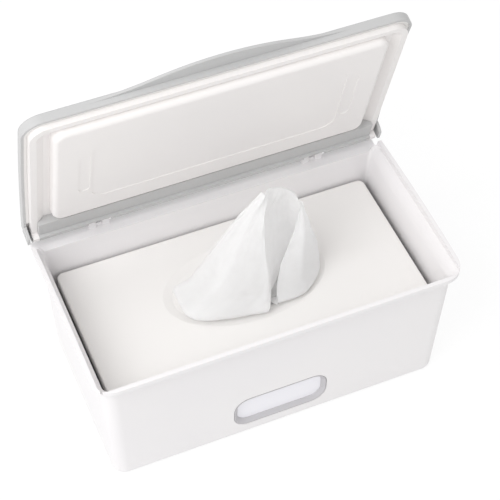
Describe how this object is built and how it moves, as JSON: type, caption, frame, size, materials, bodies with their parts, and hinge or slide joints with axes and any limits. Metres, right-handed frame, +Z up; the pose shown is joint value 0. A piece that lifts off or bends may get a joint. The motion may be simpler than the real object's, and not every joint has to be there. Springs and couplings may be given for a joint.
{
  "type": "wipes dispenser",
  "caption": "White wipes dispenser tub with a grey hinged lid standing open, a weight plate inside with an oval opening, and one wipe pulled up through it.",
  "frame": {"origin": "on the table, in the middle of the tub's footprint, 1 mm under its flat underside", "axes": "+Z up; -Y is the front, the side with the window and the lid's tab; +X to the right seen from the front"},
  "size_m": [0.2468, 0.1412, 0.2468],
  "materials": {
    "white_plastic": "satin",
    "grey_plastic": "satin",
    "grey_rubber": "matt",
    "soft_seal": "matt",
    "clear_plastic": "clear",
    "bush_plastic": "satin",
    "steel": "ground",
    "wipe_cloth": "soft"
  },
  "bodies": {
    "tub": {"tub": "white_plastic", "window_gasket": "grey_rubber", "window_lens": "clear_plastic", "foot_front_left": "grey_rubber", "foot_front_right": "grey_rubber", "foot_back_left": "grey_rubber", "foot_back_right": "grey_rubber", "hinge_pin_left": "steel", "hinge_pin_right": "steel", "wipes_stack": "wipe_cloth"},
    "lid": {"lid_shell": "grey_plastic", "lid_panel": "white_plastic", "lid_seal": "soft_seal", "hinge_bush_left": "bush_plastic", "hinge_bush_right": "bush_plastic"},
    "weight_plate": {"plate_top": "white_plastic", "plate_base": "white_plastic", "plate_weight_left": "steel", "plate_weight_right": "steel", "plate_screws": "steel", "pulled_wipe": "wipe_cloth"}
  },
  "joints": [
    {"name": "lid_hinge", "type": "hinge", "parent": "tub", "child": "lid", "pos_m": [0, 0.069, 0.1035], "axis": [-1, 0, 0], "range_deg": [-75, 25], "deforming": ["pulled_wipe"]},
    {"name": "plate_lift", "type": "slide", "parent": "tub", "child": "weight_plate", "axis": [0, 0, 1], "range_m": [0, 0.018]}
  ]
}
